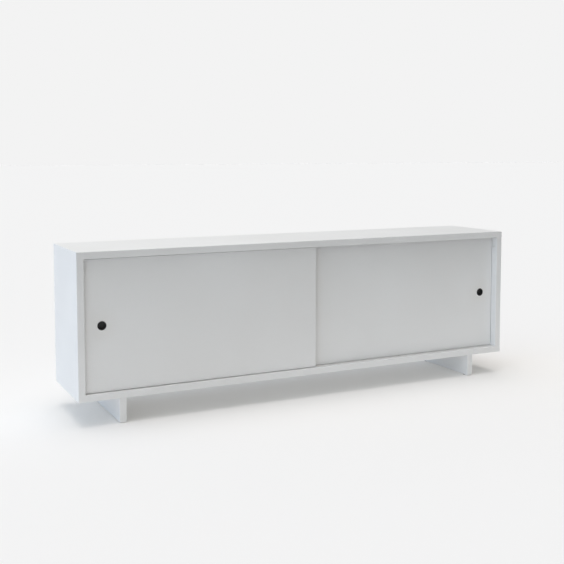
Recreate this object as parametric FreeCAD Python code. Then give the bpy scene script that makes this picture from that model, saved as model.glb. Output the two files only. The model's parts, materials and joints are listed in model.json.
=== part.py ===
import FreeCAD, Part
import os

# A low lacquered media cabinet: a mitred case with two bypass sliding doors,
# standing on two plank legs. Millimetres, +Z up, doors face -Y, +X is the
# viewer's right. The origin is on the floor, below the middle of the case.

# ---- driving dimensions ------------------------------------------------
WIDTH = 1830.0              # case, outside
DEPTH = 345.0
HEIGHT = 610.0              # floor to the top face
LEG_HEIGHT = 90.0           # foot pad included
CASE_PANEL = 25.0           # top, bottom, sides and legs
INNER_PANEL = 18.0          # divider and shelves
DOOR_PANEL = 16.0
BACK_PANEL = 6.0
EDGE_ROUND = 1.0            # softened lacquered edges
CORNER_ROUND = 2.0          # outer corners, where two panels meet in a mitre
MITRE_ANGLE = 45.0

DOOR_RECESS = 12.0          # front door behind the case's front edges
DOOR_GAP = 3.0              # between the two doors, and behind the rear one
DOOR_OVERLAP = 34.0         # how far the closed doors overlap at the middle
DOOR_END_GAP = 2.0
DOOR_BOTTOM_GAP = 1.5
DOOR_TOP_GAP = 2.0           # also the lift that frees a door from its rail

LEG_INSET = 145.0           # case end to the leg's outer face
LEG_SETBACK = 3.0           # leg behind the case's front and back edges
PAD_RADIUS = 10.0
PAD_HEIGHT = 3.0
PAD_INSET = 30.0            # pad centre from the leg's front or back edge

PULL_INSET = 63.0           # pull centre from the case's inner side
PULL_RADIUS = 16.0          # flange, outside
PULL_FLANGE = 0.8
PULL_POCKET_RADIUS = 15.0
PULL_WALL = 1.5
PULL_DEPTH = 12.0

TRACK_WIDTH = 32.0
TRACK_WALL = 1.5
UPPER_TRACK_HEIGHT = 12.0
GUIDE_SLOT = 9.0
MIDDLE_SLOT = 7.0
LOWER_TRACK_DEPTH = 4.0     # sunk flush in the bottom panel
LOWER_TRACK_BASE = 2.0
RAIL_WIDTH = 2.0
RAIL_SLOT = 2.2             # slot on each side of a rail, for the roller's flanges
TRACK_END_GAP = 1.0
TRACK_SCREW_COUNT = 5
TRACK_SCREW_END = 60.0      # last track screw from the case's inner side

ROLLER_INSET = 80.0         # roller centre from the door's end
ROLLER_RADIUS = 11.0
ROLLER_GROOVE_RADIUS = 9.5
ROLLER_WIDTH = 5.0
ROLLER_GROOVE_WIDTH = 2.6
ROLLER_RAIL_GAP = 0.3
AXLE_RADIUS = 2.0
AXLE_FIT = 0.02             # axle in its housing
AXLE_RUNNING_CLEARANCE = 0.05
HOUSING_LENGTH = 56.0
HOUSING_WIDTH = 10.0
HOUSING_HEIGHT = 22.0
HOUSING_SLOT_LENGTH = 26.0
HOUSING_SLOT_WIDTH = 6.0
HOUSING_SLOT_HEIGHT = 20.0

GUIDE_LENGTH = 40.0
GUIDE_HEIGHT = 14.0
GUIDE_PEG_RADIUS = 4.0
GUIDE_PEG_HEIGHT = 9.0

RABBET_DEPTH = 8.0          # back rabbet: into the case and across its panels
SHELF_END_GAP = 1.0
SHELF_FRONT_GAP = 5.0
SHELF_BACK_GAP = 2.0
PIN_RADIUS = 2.5
PIN_HOLE_RADIUS = 2.55
PIN_HOLE_DEPTH = 8.0
PIN_INSERTED = 7.5
PIN_PROUD = 8.0
PIN_COLLAR_RADIUS = 3.5
PIN_COLLAR = 0.8
PIN_PITCH = 32.0
PIN_STEPS = 3               # holes above and below the one in use
PIN_ROWS_Y = (-80.0, 120.0)

PORT_HEIGHT = 225.0         # cable port centre above the floor
PORT_RADIUS = 25.5          # clear bore
SLEEVE_RADIUS = 28.0
PORT_FLANGE_RADIUS = 32.0
PORT_FLANGE = 2.0
SLEEVE_INSIDE = 1.0         # sleeve proud of the back panel's inner face

DOWEL_RADIUS = 4.0
DOWEL_LENGTH = 30.0
DOWEL_ROWS_Y = (-90.0, 20.0, 130.0)
BISCUIT = (47.0, 15.0, 4.0)  # length, width, thickness
BUMPER_RADIUS = 3.0
BUMPER_THICKNESS = 1.5
BUMPER_FROM_DOOR_END = 40.0

LEG_SCREW = dict(shaft=2.5, head=5.0, head_height=3.5, length=50.0, recess=3.0)
BACK_SCREW = dict(shaft=1.5, head=3.2, head_height=2.0, length=20.0, recess=1.6)
TRACK_SCREW = dict(shaft=1.5, head=3.2, head_height=1.5, length=11.0, recess=0.9)
LEG_SCREW_ROWS_Y = (-120.0, -40.0, 40.0, 120.0)
BACK_SCREW_INSET = 4.0      # screw line from the back panel's edge
BACK_SCREWS_ALONG = 6
BACK_SCREWS_UP = 3
SCREW_SLOT_WIDTH = 0.3      # share of the recess half length
SCREW_SLOT_DEPTH = 0.6      # share of the head height

FIT = 0.1                   # glue or assembly clearance between fixed parts
SCREW_FIT = 0.05
PAST = 5.0                  # how far a cutting shape runs past a face
NEARLY_ALONG = 0.999        # cosine above which an edge counts as running along an axis

# ---- places worked out from them ---------------------------------------
HALF_W = WIDTH / 2
HALF_D = DEPTH / 2
FRONT = -HALF_D
CASE_BOTTOM = LEG_HEIGHT
INSIDE_X = HALF_W - CASE_PANEL
INSIDE_BOTTOM = CASE_BOTTOM + CASE_PANEL
INSIDE_TOP = HEIGHT - CASE_PANEL
DOOR_BOTTOM = INSIDE_BOTTOM + DOOR_BOTTOM_GAP
DOOR_TOP = INSIDE_TOP - DOOR_TOP_GAP
DOOR_MIDDLE = (INSIDE_BOTTOM + INSIDE_TOP) / 2
DOOR_WIDTH = INSIDE_X - DOOR_END_GAP + DOOR_OVERLAP / 2
LANE_FRONT = {"left": FRONT + DOOR_RECESS,
              "right": FRONT + DOOR_RECESS + DOOR_PANEL + DOOR_GAP}
LANE_Y = {side: front + DOOR_PANEL / 2 for side, front in LANE_FRONT.items()}
LANE_MIDDLE = (LANE_Y["left"] + LANE_Y["right"]) / 2
DIVIDER_FRONT = LANE_FRONT["right"] + DOOR_PANEL + DOOR_GAP
BACK_INNER = HALF_D - RABBET_DEPTH
BACK_OUTER = BACK_INNER + BACK_PANEL
SHELF_BOTTOM = DOOR_MIDDLE - INNER_PANEL / 2
SIDE_SIGN = {"left": -1, "right": 1}
LOWER_TRACK_FLOOR = INSIDE_BOTTOM - LOWER_TRACK_DEPTH + LOWER_TRACK_BASE
ROLLER_Z = INSIDE_BOTTOM + ROLLER_RAIL_GAP + ROLLER_GROOVE_RADIUS
PORT_X = (INSIDE_X + INNER_PANEL / 2) / 2


# ---- helpers -----------------------------------------------------------
def vec(x, y, z):
    return FreeCAD.Vector(x, y, z)


def block(x0, x1, y0, y1, z0, z1):
    """A box between two corners, given in any order along X."""
    low, high = sorted((x0, x1))
    return Part.makeBox(high - low, y1 - y0, z1 - z0, vec(low, y0, z0))


def rod(start, direction, radius, length):
    return Part.makeCylinder(radius, length, start, direction)


def extruded_along_y(outline, y0, y1):
    """A prism with an outline of (x, z) points."""
    points = [vec(x, y0, z) for x, z in outline]
    face = Part.Face(Part.makePolygon(points + points[:1]))
    return face.extrude(vec(0, y1 - y0, 0))


def rounded_edges(shape, axis, radius=EDGE_ROUND):
    """Rounds the straight edges that run along one axis."""
    chosen = [edge for edge in shape.Edges
              if abs(edge.tangentAt(edge.FirstParameter).dot(axis)) > NEARLY_ALONG]
    return shape.makeFillet(radius, chosen)


def rounded_all_over(shape, radius=EDGE_ROUND):
    return shape.makeFillet(radius, shape.Edges)


def cut_all(shape, cutters):
    return shape.cut(Part.makeCompound(cutters))


def screw(point, direction, shaft, head, head_height, length, recess):
    """A countersunk screw: point is the middle of its flush head."""
    cone = Part.makeCone(head, shaft, head_height, point, direction)
    body = cone.fuse(rod(point, direction, shaft, length)).removeSplitter()
    side = vec(0, 0, 1) if direction.z == 0 else vec(1, 0, 0)
    across = direction.cross(side)
    half = recess
    slot = recess * SCREW_SLOT_WIDTH
    depth = head_height * SCREW_SLOT_DEPTH
    for along, wide in ((side, across), (across, side)):
        corner = point - along * half - wide * (slot / 2) - direction * FIT
        points = [corner, corner + along * (2 * half),
                  corner + along * (2 * half) + wide * slot, corner + wide * slot]
        face = Part.Face(Part.makePolygon(points + points[:1]))
        body = body.cut(face.extrude(direction * (depth + FIT)))
    return body


def screw_hole(point, direction, shaft, head, head_height, length, recess):
    """The hole that the same screw leaves in the parts it joins."""
    head_hole = Part.makeCone(head + SCREW_FIT, shaft + SCREW_FIT, head_height,
                              point, direction)
    mouth = rod(point - direction * FIT, direction, head + SCREW_FIT, FIT)
    return head_hole.fuse([mouth, rod(point, direction, shaft + SCREW_FIT, length + FIT)])


def export(name, solids):
    shape = solids[0] if len(solids) == 1 else Part.makeCompound(solids)
    shape.exportStep(os.path.join("parts", name + ".step"))


# ---- where the repeated fasteners go -----------------------------------
def leg_middle_x(side):
    return SIDE_SIGN[side] * (HALF_W - LEG_INSET - CASE_PANEL / 2)


def leg_screw_points(side):
    return [vec(leg_middle_x(side), y, INSIDE_BOTTOM) for y in LEG_SCREW_ROWS_Y]


def track_screw_xs():
    reach = INSIDE_X - TRACK_SCREW_END
    step = 2 * reach / (TRACK_SCREW_COUNT - 1)
    return [-reach + step * i for i in range(TRACK_SCREW_COUNT)]


def back_panel_limits(side):
    """Inner and outer X, and the Z range, of one half of the back."""
    inner = SIDE_SIGN[side] * FIT
    outer = SIDE_SIGN[side] * (INSIDE_X + RABBET_DEPTH - FIT)
    low = INSIDE_BOTTOM - RABBET_DEPTH + FIT
    high = INSIDE_TOP + RABBET_DEPTH - FIT
    return inner, outer, low, high


def back_screw_points(side):
    inner, outer, low, high = back_panel_limits(side)
    x0 = inner + SIDE_SIGN[side] * BACK_SCREW_INSET
    x1 = outer - SIDE_SIGN[side] * BACK_SCREW_INSET
    z0 = low + BACK_SCREW_INSET
    z1 = high - BACK_SCREW_INSET
    points = []
    for i in range(BACK_SCREWS_ALONG):
        x = x0 + (x1 - x0) * (i + 0.5) / BACK_SCREWS_ALONG
        points += [vec(x, BACK_OUTER, z0), vec(x, BACK_OUTER, z1)]
    for i in range(BACK_SCREWS_UP):
        z = z0 + (z1 - z0) * (i + 0.5) / BACK_SCREWS_UP
        points += [vec(x0, BACK_OUTER, z), vec(x1, BACK_OUTER, z)]
    return points


def back_screw_holes():
    return [screw_hole(p, vec(0, -1, 0), **BACK_SCREW)
            for side in SIDE_SIGN for p in back_screw_points(side)]


def pin_heights():
    middle = SHELF_BOTTOM - PIN_RADIUS
    return [middle + PIN_PITCH * i for i in range(-PIN_STEPS, PIN_STEPS + 1)]


def pin_walls(side):
    """The two wall faces of one bay: (face X, direction into the wall)."""
    sign = SIDE_SIGN[side]
    return [(sign * INSIDE_X, sign), (sign * INNER_PANEL / 2, -sign)]


def pin_holes(face_x, into):
    direction = vec(into, 0, 0)
    return [rod(vec(face_x - into * FIT, y, z), direction, PIN_HOLE_RADIUS, PIN_HOLE_DEPTH + FIT)
            for y in PIN_ROWS_Y for z in pin_heights()]


def divider_dowels(clearance=0.0):
    dowels = []
    for face_z in (INSIDE_BOTTOM, INSIDE_TOP):
        for y in DOWEL_ROWS_Y:
            start = vec(0, y, face_z - DOWEL_LENGTH / 2 - clearance)
            length = DOWEL_LENGTH + 2 * clearance
            dowels.append(rod(start, vec(0, 0, 1), DOWEL_RADIUS + clearance, length))
    return dowels


def corner_biscuits(clearance=0.0):
    """Flat wooden biscuits set square across each mitre."""
    length, width, thickness = (size + 2 * clearance for size in BISCUIT)
    biscuits = []
    for sign_x in (-1, 1):
        for z, sign_z in ((HEIGHT - CASE_PANEL / 2, 1),
                          (CASE_BOTTOM + CASE_PANEL / 2, -1)):
            for y in DOWEL_ROWS_Y:
                corner = vec(-width / 2, -length / 2, -thickness / 2)
                flat = Part.makeBox(width, length, thickness, corner)
                flat.rotate(vec(0, 0, 0), vec(0, 1, 0), sign_x * sign_z * MITRE_ANGLE)
                flat.translate(vec(sign_x * (HALF_W - CASE_PANEL / 2), y, z))
                biscuits.append(flat)
    return biscuits


# ---- the case ----------------------------------------------------------
def back_rabbet():
    reach = INSIDE_X + RABBET_DEPTH
    return block(-reach, reach, BACK_INNER, HALF_D + PAST,
                 INSIDE_BOTTOM - RABBET_DEPTH, INSIDE_TOP + RABBET_DEPTH)


def case_ring():
    """The four panels as one ring, rounded before it is cut along its mitres."""
    ring = block(-HALF_W, HALF_W, -HALF_D, HALF_D, CASE_BOTTOM, HEIGHT)
    ring = rounded_edges(ring, vec(0, 1, 0), CORNER_ROUND)
    ring = ring.cut(block(-INSIDE_X, INSIDE_X, -HALF_D - PAST, HALF_D + PAST,
                          INSIDE_BOTTOM, INSIDE_TOP))
    rims = [edge for edge in ring.Edges
            if edge.BoundBox.YLength < FIT and abs(abs(edge.CenterOfMass.y) - HALF_D) < FIT]
    return ring.makeFillet(EDGE_ROUND, rims)


def mitred(outline):
    """The part of the ring inside a four-sided outline, whose slanted ends are the mitres."""
    return case_ring().common(extruded_along_y(outline, -HALF_D - PAST, HALF_D + PAST))


def mitre_wedge_across(outer_z, inner_z):
    """An outline that keeps the top or bottom panel, and runs past the ring's outside."""
    step = PAST if outer_z > inner_z else -PAST
    reach = HALF_W + PAST
    return [(-reach, outer_z + step), (reach, outer_z + step),
            (INSIDE_X, inner_z), (-INSIDE_X, inner_z)]


def mitre_wedge_up(sign):
    """An outline that keeps one side panel, and runs past the ring's outside."""
    outside = sign * (HALF_W + PAST)
    return [(outside, CASE_BOTTOM - PAST), (outside, HEIGHT + PAST),
            (sign * INSIDE_X, INSIDE_TOP), (sign * INSIDE_X, INSIDE_BOTTOM)]


def track_groove(z0, z1):
    half = TRACK_WIDTH / 2
    return block(-INSIDE_X, INSIDE_X, LANE_MIDDLE - half, LANE_MIDDLE + half, z0, z1)


def level_panel_cutters():
    """What the top and the bottom panel both lose."""
    return [back_rabbet()] + divider_dowels(FIT) + corner_biscuits(FIT) + back_screw_holes()


def top_panel():
    cutters = level_panel_cutters()
    cutters.append(track_groove(INSIDE_TOP - FIT, INSIDE_TOP + UPPER_TRACK_HEIGHT))
    cutters += [screw_hole(p, vec(0, 0, 1), **TRACK_SCREW) for p in upper_track_screw_points()]
    return cut_all(mitred(mitre_wedge_across(HEIGHT, INSIDE_TOP)), cutters)


def bottom_panel():
    cutters = level_panel_cutters()
    cutters.append(track_groove(INSIDE_BOTTOM - LOWER_TRACK_DEPTH, INSIDE_BOTTOM + FIT))
    cutters += [screw_hole(p, vec(0, 0, -1), **TRACK_SCREW) for p in lower_track_screw_points()]
    for side in SIDE_SIGN:
        cutters += [screw_hole(p, vec(0, 0, -1), **LEG_SCREW) for p in leg_screw_points(side)]
    return cut_all(mitred(mitre_wedge_across(CASE_BOTTOM, INSIDE_BOTTOM)), cutters)


def side_panel(side):
    face_x, into = pin_walls(side)[0]
    cutters = [back_rabbet()] + corner_biscuits(FIT) + back_screw_holes()
    cutters += pin_holes(face_x, into)
    return cut_all(mitred(mitre_wedge_up(SIDE_SIGN[side])), cutters)


def centre_divider():
    half = INNER_PANEL / 2
    panel = block(-half, half, DIVIDER_FRONT, BACK_INNER, INSIDE_BOTTOM, INSIDE_TOP)
    panel = rounded_edges(panel, vec(0, 0, 1))
    cutters = divider_dowels(FIT) + back_screw_holes()
    for side in SIDE_SIGN:
        face_x, into = pin_walls(side)[1]
        cutters += pin_holes(face_x, into)
    return cut_all(panel, cutters)


def back_panel(side):
    inner, outer, low, high = back_panel_limits(side)
    panel = block(inner, outer, BACK_INNER, BACK_OUTER, low, high)
    port = rod(vec(SIDE_SIGN[side] * PORT_X, BACK_INNER - PAST, PORT_HEIGHT), vec(0, 1, 0),
               SLEEVE_RADIUS + FIT, BACK_PANEL + 2 * PAST)
    return cut_all(panel, [port] + back_screw_holes())


def shelf(side):
    sign = SIDE_SIGN[side]
    board = block(sign * (INNER_PANEL / 2 + SHELF_END_GAP), sign * (INSIDE_X - SHELF_END_GAP),
                  DIVIDER_FRONT + SHELF_FRONT_GAP, BACK_INNER - SHELF_BACK_GAP,
                  SHELF_BOTTOM, SHELF_BOTTOM + INNER_PANEL)
    return rounded_edges(board, vec(1, 0, 0))


def shelf_pin(face_x, into, y):
    outward = vec(-into, 0, 0)
    at_wall = vec(face_x, y, SHELF_BOTTOM - PIN_RADIUS)
    stem = rod(at_wall - outward * PIN_INSERTED, outward, PIN_RADIUS, PIN_INSERTED + PIN_PROUD)
    collar = rod(at_wall, outward, PIN_COLLAR_RADIUS, PIN_COLLAR)
    return stem.fuse(collar).removeSplitter()


def shelf_pins():
    return [shelf_pin(face_x, into, y) for side in SIDE_SIGN
            for face_x, into in pin_walls(side) for y in PIN_ROWS_Y]


def cable_grommet(side):
    centre = vec(SIDE_SIGN[side] * PORT_X, BACK_INNER - SLEEVE_INSIDE, PORT_HEIGHT)
    out = vec(0, 1, 0)
    sleeve = rod(centre, out, SLEEVE_RADIUS, SLEEVE_INSIDE + BACK_PANEL)
    flange_start = centre + out * (SLEEVE_INSIDE + BACK_PANEL)
    flange = rod(flange_start, out, PORT_FLANGE_RADIUS, PORT_FLANGE)
    bore = rod(centre - out * PAST, out, PORT_RADIUS, DEPTH)
    return sleeve.fuse(flange).cut(bore).removeSplitter()


# ---- tracks ------------------------------------------------------------
def upper_track_screw_points():
    z = INSIDE_TOP + UPPER_TRACK_HEIGHT - TRACK_WALL
    return [vec(x, LANE_MIDDLE, z) for x in track_screw_xs()]


def lower_track_screw_points():
    return [vec(x, LANE_MIDDLE, INSIDE_BOTTOM) for x in track_screw_xs()]


def upper_track():
    """A double channel, open downwards, that the doors' guide pegs run in."""
    length = INSIDE_X - TRACK_END_GAP
    half = TRACK_WIDTH / 2
    channel = block(-length, length, LANE_MIDDLE - half, LANE_MIDDLE + half,
                    INSIDE_TOP, INSIDE_TOP + UPPER_TRACK_HEIGHT)
    roof = INSIDE_TOP + UPPER_TRACK_HEIGHT - TRACK_WALL
    slots = []
    for y, width in ((LANE_Y["left"], GUIDE_SLOT), (LANE_Y["right"], GUIDE_SLOT),
                     (LANE_MIDDLE, MIDDLE_SLOT)):
        slots.append(block(-HALF_W, HALF_W, y - width / 2, y + width / 2,
                           INSIDE_TOP - PAST, roof))
    holes = [screw_hole(p, vec(0, 0, 1), **TRACK_SCREW) for p in upper_track_screw_points()]
    return cut_all(channel, slots + holes)


def lower_track():
    """A flush strip; a slot on each side of a rail takes the flanges of the grooved rollers."""
    length = INSIDE_X - TRACK_END_GAP
    half = TRACK_WIDTH / 2
    strip = block(-length, length, LANE_MIDDLE - half, LANE_MIDDLE + half,
                  INSIDE_BOTTOM - LOWER_TRACK_DEPTH, INSIDE_BOTTOM)
    inner = RAIL_WIDTH / 2
    outer = inner + RAIL_SLOT
    slots = [block(-HALF_W, HALF_W, y + near, y + far, LOWER_TRACK_FLOOR, INSIDE_BOTTOM + PAST)
             for y in LANE_Y.values() for near, far in ((inner, outer), (-outer, -inner))]
    holes = [screw_hole(p, vec(0, 0, -1), **TRACK_SCREW) for p in lower_track_screw_points()]
    return cut_all(strip, slots + holes)


def track_screws():
    upper = [screw(p, vec(0, 0, 1), **TRACK_SCREW) for p in upper_track_screw_points()]
    lower = [screw(p, vec(0, 0, -1), **TRACK_SCREW) for p in lower_track_screw_points()]
    return upper + lower


# ---- legs --------------------------------------------------------------
def leg(side):
    half = CASE_PANEL / 2
    middle = leg_middle_x(side)
    plank = block(middle - half, middle + half, FRONT + LEG_SETBACK, HALF_D - LEG_SETBACK,
                  PAD_HEIGHT, CASE_BOTTOM)
    plank = rounded_edges(plank, vec(0, 0, 1))
    holes = [screw_hole(p, vec(0, 0, -1), **LEG_SCREW) for p in leg_screw_points(side)]
    return cut_all(plank, holes)


def leg_screws():
    return [screw(p, vec(0, 0, -1), **LEG_SCREW)
            for side in SIDE_SIGN for p in leg_screw_points(side)]


def foot_pads():
    reach = HALF_D - LEG_SETBACK - PAD_INSET
    return [rod(vec(leg_middle_x(side), y, 0), vec(0, 0, 1), PAD_RADIUS, PAD_HEIGHT)
            for side in SIDE_SIGN for y in (-reach, reach)]


def door_bumpers():
    heights = (DOOR_BOTTOM + BUMPER_FROM_DOOR_END, DOOR_TOP - BUMPER_FROM_DOOR_END)
    return [rod(vec(sign * INSIDE_X, y, z), vec(-sign, 0, 0), BUMPER_RADIUS, BUMPER_THICKNESS)
            for sign in SIDE_SIGN.values() for y in LANE_Y.values() for z in heights]


# ---- doors -------------------------------------------------------------
def door_ends(side):
    """Outer and inner end of a closed door."""
    outer = SIDE_SIGN[side] * (INSIDE_X - DOOR_END_GAP)
    return outer, outer - SIDE_SIGN[side] * DOOR_WIDTH


def hardware_xs(side):
    """Middles of the outer and inner roller, with a top guide above each."""
    outer, inner = door_ends(side)
    step = SIDE_SIGN[side] * ROLLER_INSET
    return {"outer": outer - step, "inner": inner + step}


def pull_point(side):
    return vec(SIDE_SIGN[side] * (INSIDE_X - PULL_INSET), LANE_FRONT[side], DOOR_MIDDLE)


def housing_block(x, y, clearance=0.0):
    half_length = HOUSING_LENGTH / 2 + clearance
    half_width = HOUSING_WIDTH / 2 + clearance
    return block(x - half_length, x + half_length, y - half_width, y + half_width,
                 DOOR_BOTTOM, DOOR_BOTTOM + HOUSING_HEIGHT + clearance)


def guide_block(x, y, clearance=0.0):
    half_length = GUIDE_LENGTH / 2 + clearance
    half_width = HOUSING_WIDTH / 2 + clearance
    return block(x - half_length, x + half_length, y - half_width, y + half_width,
                 DOOR_TOP - GUIDE_HEIGHT - clearance, DOOR_TOP)


def door(side):
    outer, inner = door_ends(side)
    front = LANE_FRONT[side]
    panel = block(inner, outer, front, front + DOOR_PANEL, DOOR_BOTTOM, DOOR_TOP)
    panel = rounded_all_over(panel)
    pocket = rod(pull_point(side) - vec(0, PAST, 0), vec(0, 1, 0),
                 PULL_POCKET_RADIUS, PULL_DEPTH + PAST + FIT)
    cutters = [pocket]
    for x in hardware_xs(side).values():
        cutters += [housing_block(x, LANE_Y[side], FIT), guide_block(x, LANE_Y[side], FIT)]
    return cut_all(panel, cutters)


def finger_pull(side):
    """A round flanged cup, sunk in the door's face."""
    point = pull_point(side)
    inward = vec(0, 1, 0)
    cup_radius = PULL_POCKET_RADIUS - FIT
    cup = rod(point, inward, cup_radius, PULL_DEPTH)
    flange = rod(point - inward * PULL_FLANGE, inward, PULL_RADIUS, PULL_FLANGE)
    hollow = rod(point - inward * PAST, inward, cup_radius - PULL_WALL,
                 PAST + PULL_DEPTH - PULL_WALL)
    return cup.fuse(flange).cut(hollow).removeSplitter()


def roller_housing(x, y):
    slot_length = HOUSING_SLOT_LENGTH / 2
    slot_width = HOUSING_SLOT_WIDTH / 2
    slot = block(x - slot_length, x + slot_length, y - slot_width, y + slot_width,
                 DOOR_BOTTOM - PAST, DOOR_BOTTOM + HOUSING_SLOT_HEIGHT)
    bore = rod(vec(x, y - HOUSING_WIDTH, ROLLER_Z), vec(0, 1, 0),
               AXLE_RADIUS + AXLE_FIT, 2 * HOUSING_WIDTH)
    return cut_all(housing_block(x, y), [slot, bore])


def roller_axle(x, y):
    return rod(vec(x, y - HOUSING_WIDTH / 2, ROLLER_Z), vec(0, 1, 0), AXLE_RADIUS, HOUSING_WIDTH)


def roller(x, y):
    """A wheel with a groove that straddles the rail."""
    half = ROLLER_WIDTH / 2
    groove_half = ROLLER_GROOVE_WIDTH / 2
    across = vec(0, 1, 0)
    wheel = rod(vec(x, y - half, ROLLER_Z), across, ROLLER_RADIUS, ROLLER_WIDTH)
    ring = rod(vec(x, y - groove_half, ROLLER_Z), across, ROLLER_RADIUS + PAST,
               ROLLER_GROOVE_WIDTH)
    ring = ring.cut(rod(vec(x, y - half, ROLLER_Z), across, ROLLER_GROOVE_RADIUS, ROLLER_WIDTH))
    bore = rod(vec(x, y - ROLLER_WIDTH, ROLLER_Z), across,
               AXLE_RADIUS + AXLE_RUNNING_CLEARANCE, 2 * ROLLER_WIDTH)
    return cut_all(wheel, [ring, bore])


def top_guide(x, y):
    peg = rod(vec(x, y, DOOR_TOP - FIT), vec(0, 0, 1), GUIDE_PEG_RADIUS, GUIDE_PEG_HEIGHT + FIT)
    return guide_block(x, y).fuse(peg).removeSplitter()


# ---- write every piece -------------------------------------------------
def main():
    os.makedirs("parts", exist_ok=True)
    export("top_panel", [top_panel()])
    export("bottom_panel", [bottom_panel()])
    export("centre_divider", [centre_divider()])
    export("shelf_pins", shelf_pins())
    export("corner_biscuits", corner_biscuits())
    export("divider_dowels", divider_dowels())
    export("upper_track", [upper_track()])
    export("lower_track", [lower_track()])
    export("track_screws", track_screws())
    export("leg_screws", leg_screws())
    export("foot_pads", foot_pads())
    export("door_bumpers", door_bumpers())
    for side in SIDE_SIGN:
        screws = [screw(p, vec(0, -1, 0), **BACK_SCREW) for p in back_screw_points(side)]
        hardware = hardware_xs(side)
        y = LANE_Y[side]
        export(side + "_side_panel", [side_panel(side)])
        export(side + "_back_panel", [back_panel(side)])
        export(side + "_back_screws", screws)
        export(side + "_shelf", [shelf(side)])
        export(side + "_cable_grommet", [cable_grommet(side)])
        export(side + "_leg", [leg(side)])
        export(side + "_door_panel", [door(side)])
        export(side + "_finger_pull", [finger_pull(side)])
        export(side + "_top_guides", [top_guide(x, y) for x in hardware.values()])
        export(side + "_roller_housings", [roller_housing(x, y) for x in hardware.values()])
        export(side + "_roller_axles", [roller_axle(x, y) for x in hardware.values()])
        for place, x in hardware.items():
            export(side + "_" + place + "_roller", [roller(x, y)])


main()
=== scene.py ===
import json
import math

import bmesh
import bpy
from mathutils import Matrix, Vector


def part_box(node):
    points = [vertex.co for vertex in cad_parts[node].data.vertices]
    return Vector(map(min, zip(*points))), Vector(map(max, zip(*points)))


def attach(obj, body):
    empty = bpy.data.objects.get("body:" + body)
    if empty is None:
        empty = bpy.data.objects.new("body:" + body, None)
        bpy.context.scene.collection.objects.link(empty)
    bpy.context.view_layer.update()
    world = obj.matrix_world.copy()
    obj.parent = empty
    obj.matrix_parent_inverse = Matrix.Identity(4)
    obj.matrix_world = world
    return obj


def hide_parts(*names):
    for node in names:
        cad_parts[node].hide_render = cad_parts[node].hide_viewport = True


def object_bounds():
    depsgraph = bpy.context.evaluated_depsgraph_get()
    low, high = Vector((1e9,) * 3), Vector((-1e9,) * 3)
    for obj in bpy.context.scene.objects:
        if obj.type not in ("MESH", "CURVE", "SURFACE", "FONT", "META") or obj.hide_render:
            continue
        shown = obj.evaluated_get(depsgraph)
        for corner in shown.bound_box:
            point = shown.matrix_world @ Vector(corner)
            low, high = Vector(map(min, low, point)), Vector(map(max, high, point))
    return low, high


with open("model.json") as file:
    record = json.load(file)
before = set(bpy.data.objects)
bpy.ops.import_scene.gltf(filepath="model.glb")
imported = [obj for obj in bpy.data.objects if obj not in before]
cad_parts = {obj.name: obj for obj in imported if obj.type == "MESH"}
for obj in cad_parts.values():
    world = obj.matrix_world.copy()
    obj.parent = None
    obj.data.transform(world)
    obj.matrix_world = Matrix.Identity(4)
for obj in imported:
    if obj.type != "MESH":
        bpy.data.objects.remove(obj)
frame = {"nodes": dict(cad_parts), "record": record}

# %% [markdown]
# # A low media cabinet with two sliding doors
#
# The cabinet is a white lacquered case on two plank legs. Its design, with every size and every
# motion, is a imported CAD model, and this lesson gives that model its looks. The frame that was
# just loaded holds one mesh per sub-part, in metres, with +Z up and the doors facing -Y.
# Nothing in it is moved. A piece either keeps its CAD mesh and gets a better material, or a
# new piece made here stands for it and rides on the same body.
#
# First come the modules, and the box of the CAD model, which the looks must not outgrow.

MM = 0.001
cad_low, cad_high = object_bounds()
bodies = frame["record"]["behaviour"]["bodies"]
body_of_node = {node: name for name, members in bodies.items() for node in members}
print("CAD box", [round(v, 3) for v in cad_low], [round(v, 3) for v in cad_high])

# %% [markdown]
# ## The camera
#
# The camera stands to the left of the cabinet and a little above its top, and looks slightly
# down, so that the top shows as a thin band. A camera that tilts down makes upright edges lean
# together. Keeping it nearly level and shifting the lens avoids that, as a view camera does
# with its rising front, and a small shift_y does the same here.

# %% Camera
CAMERA_PLACE = (-1.657, -3.220, 0.951)
CAMERA_HEADING = math.radians(26.52)    # turned to the right of straight ahead
CAMERA_DIP = math.radians(4.305)
CAMERA_LENS = 58.0                      # on a 36 mm sensor
CAMERA_SHIFT = -0.11
CAMERA_NEAR = 0.1
CAMERA_FAR = 200


def make_camera():
    data = bpy.data.cameras.new("studio_camera")
    data.lens = CAMERA_LENS
    data.shift_y = CAMERA_SHIFT
    data.clip_start = CAMERA_NEAR
    data.clip_end = CAMERA_FAR
    camera = bpy.data.objects.new("studio_camera", data)
    bpy.context.scene.collection.objects.link(camera)
    ahead = Vector((math.sin(CAMERA_HEADING) * math.cos(CAMERA_DIP),
                    math.cos(CAMERA_HEADING) * math.cos(CAMERA_DIP), -math.sin(CAMERA_DIP)))
    camera.location = CAMERA_PLACE
    camera.rotation_mode = "QUATERNION"
    camera.rotation_quaternion = ahead.to_track_quat("-Z", "Y")
    bpy.context.scene.camera = camera


make_camera()
print("camera at", CAMERA_PLACE)

# %% [markdown]
# ## Building materials from nodes
#
# Each finish below is a node tree around one Principled shader. All of them need noise that
# follows the object, a colour ramp and a bump, and some stain one colour with another, so small
# helpers make those. Noise is read from Object coordinates: every piece sits at the origin with
# its place in its mesh, so these are metres in the cabinet's own frame, and 100 grains per
# metre are about a centimetre each.
#
# Noise runs from 0 to 1 but is mostly near its middle, so unless a finish says otherwise, its
# colours and its roughness change between NOISE_LOW and NOISE_HIGH.

# %% Node helpers
NOISE_LOW = 0.3
NOISE_HIGH = 0.7


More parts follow.
